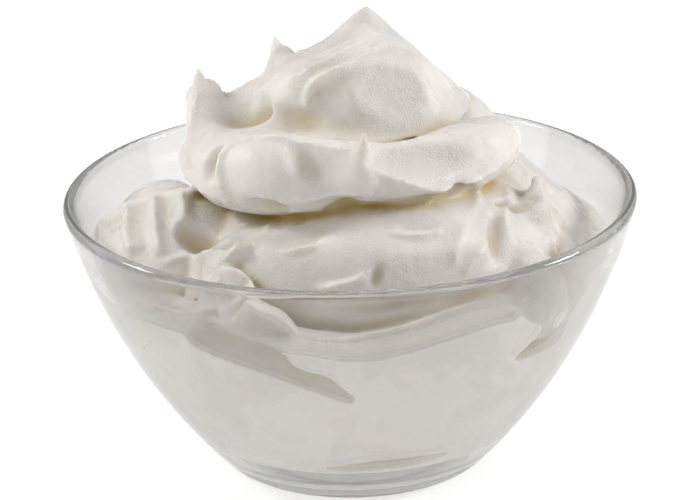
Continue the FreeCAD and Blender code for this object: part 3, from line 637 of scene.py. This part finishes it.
def makeYogurtLook(look):
    n = Nodes("thickYogurt")
    at = n.make("ShaderNodeTexCoord", out=3)
    folds = n.make("ShaderNodeAttribute", {"attribute_name": "fold", "attribute_type": "GEOMETRY"})
    parts = n.make("ShaderNodeSeparateColor", {}, {"Color": folds})
    depth = Value(n, parts.socket.node.outputs[0])
    torn = Value(n, parts.socket.node.outputs[1])
    behind = Value(n, parts.socket.node.outputs[2])
    cloud = n.noise(at, look["cloud"], 3.0)
    base = n.mixColour(cloud, look["cream"], look["milk"])
    # painted light: lighter colour and a faint glow behind the glass
    base = n.mixColour(behind, base, look["paintedLightBehindGlass"])
    # painted shade: the colour turns darker and warmer down in the creases
    colour = n.mixColour(depth ** look["creaseShadePower"], base, look["deep"])
    glow = n.mixColour(behind, (0.0, 0.0, 0.0), look["glow"])
    fine = n.noise(at, look["grain"], 2.0, 0.6)
    grit = n.noise(at, look["grit"], 3.0, 0.6)
    wet = n.spread(n.noise(at, look["wetPatch"], 3.0), 0.46, 0.6)
    bump = n.make("ShaderNodeBump", {}, {"Strength": look["relief"], "Distance": 0.0006,
                                         "Height": fine * (0.3 + wet * 0.6) + grit * (0.1 + torn * 0.25)})
    shader = n.make("ShaderNodeBsdfPrincipled", {}, {
        "Base Color": colour, "Roughness": look["dullness"] - wet * look["wetShine"], "Normal": bump,
        "Subsurface Weight": 0.55, "Subsurface Radius": (1.0, 0.8, 0.5),
        "Subsurface Scale": look["softScale"], "IOR": 1.4,
        "Emission Color": glow, "Emission Strength": 1.0})
    return n.finish(shader)


glassLook = {
    "tint": (0.72, 0.71, 0.70),
    "edge": (0.02, 0.03, 0.025),     # where the wall is seen along its length
    "edgePower": 4.0,
    "lipPower": 1.5,     # darker over the rounded lip, between these two heights in metres
    "lipFoot": 0.0648,
    "lipTop": 0.0664,
    "bend": 1.47,
    "body": 0.85,        # how solid the wall looks when faced straight on
    "haze": 0.035,       # the roughest of the wiped smears
    "ripple": 0.05,
}


def makeGlassLook(look):
    n = Nodes("clearGlass")
    at = n.make("ShaderNodeTexCoord", out=3)
    smear = n.noise(at, 60.0, 3.0, 0.6)
    wipe = n.spread(smear, 0.45, 0.75, top=look["haze"])
    ripple = n.make("ShaderNodeBump", {}, {"Strength": look["ripple"], "Distance": 0.0006,
                                           "Height": n.noise(at, 28.0, 1.0)})
    side = n.make("ShaderNodeLayerWeight", {}, {"Blend": 0.5}, out=1)
    height = n.make("ShaderNodeSeparateXYZ", {}, {"Vector": at}, out=2)
    lip = n.spread(height, look["lipFoot"], look["lipTop"], look["lipPower"], look["edgePower"])
    colour = n.mixColour(side ** lip, look["tint"], look["edge"])
    shader = n.make("ShaderNodeBsdfPrincipled", {}, {
        "Base Color": colour, "Roughness": wipe, "Normal": ripple,
        "Transmission Weight": 1.0, "IOR": look["bend"],
        "Alpha": look["body"] + (1 - look["body"]) * side ** 2.0})
    return n.finish(shader)


tableLook = {"light": (0.55, 0.55, 0.55), "dark": (0.53, 0.53, 0.53), "lift": 0.66}


def makeFloorLook(look):
    n = Nodes("paleTable")
    at = n.make("ShaderNodeTexCoord", out=3)
    colour = n.mixColour(n.noise(at, 3.0, 2.0), look["dark"], look["light"])
    shader = n.make("ShaderNodeBsdfPrincipled", {}, {
        "Base Color": colour, "Roughness": 0.8,
        "Emission Color": (1.0, 1.0, 1.0), "Emission Strength": look["lift"]})
    return n.finish(shader)


clay = sculptYogurt()
print("clay sculpted")
yogurtPiece = placePiece("yogurtHeap", meshYogurt(clay), makeYogurtLook(yogurtLook), "yogurt")
print("yogurt meshed:", len(yogurtPiece.data.polygons), "faces")

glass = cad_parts["bowl"]
glassMaterial = makeGlassLook(glassLook)
for slot in glass.material_slots:
    slot.material = glassMaterial
print("glass put on the bowl's", len(glass.material_slots), "slots")


studio = {
    "floorHalf": 3.0,
    "world": 0.34,
    # place, aim, width and power of each soft light
    "lights": {
        "overhead": ((-0.05, 0.2, 0.8), 0.4, 1.3),
        "leftBack": ((-0.56, 0.08, 0.44), 0.12, 1.8),
        "frontLeft": ((-0.40, -0.36, 0.46), 0.25, 0.55),
        "rightSide": ((0.62, 0.0, 0.38), 0.16, 2.7),
    },
    "aim": (0.0, 0.0, 0.06),
}


def setStage(plan):
    half = plan["floorHalf"]
    mesh = bpy.data.meshes.new("table")
    corners = [(x * half, y * half, 0) for x, y in ((-1, -1), (1, -1), (1, 1), (-1, 1))]
    mesh.from_pydata(corners, [], [(0, 1, 2, 3)])
    mesh.materials.append(makeFloorLook(tableLook))
    table = bpy.data.objects.new("table", mesh)
    bpy.context.scene.collection.objects.link(table)
    world = bpy.data.worlds.new("studio")
    bpy.context.scene.world = world
    world.use_nodes = True
    air = world.node_tree.nodes["Background"]
    air.inputs["Color"].default_value = (1, 1, 1, 1)
    air.inputs["Strength"].default_value = plan["world"]
    for name, (place, size, power) in plan["lights"].items():
        light = bpy.data.lights.new(name, "AREA")
        light.energy, light.size = power, size
        lamp = bpy.data.objects.new(name, light)
        bpy.context.scene.collection.objects.link(lamp)
        lamp.location = place
        lamp.rotation_euler = (Vector(plan["aim"]) - Vector(place)).to_track_quat("-Z", "Y").to_euler()


view = {
    "lens": 112.0,
    "distance": 0.540,
    "lookDown": 21.11,
    "roll": 1.47,
    "aim": (-0.0003, 0.0, 0.0511),
}


def setCamera(plan):
    camera = bpy.data.cameras.new("camera")
    camera.sensor_width, camera.lens = 36.0, plan["lens"]
    holder = bpy.data.objects.new("camera", camera)
    bpy.context.scene.collection.objects.link(holder)
    down, aim = math.radians(plan["lookDown"]), Vector(plan["aim"])
    holder.location = aim + plan["distance"] * Vector((0, -math.cos(down), math.sin(down)))
    holder.rotation_mode = "QUATERNION"
    level = (aim - holder.location).to_track_quat("-Z", "Y")
    tip = Matrix.Rotation(math.radians(-plan["roll"]), 4, "Z").to_quaternion()
    holder.rotation_quaternion = level @ tip
    bpy.context.scene.camera = holder


setStage(studio)
setCamera(view)
bpy.context.scene.view_settings.view_transform = "Standard"
print("stage set")
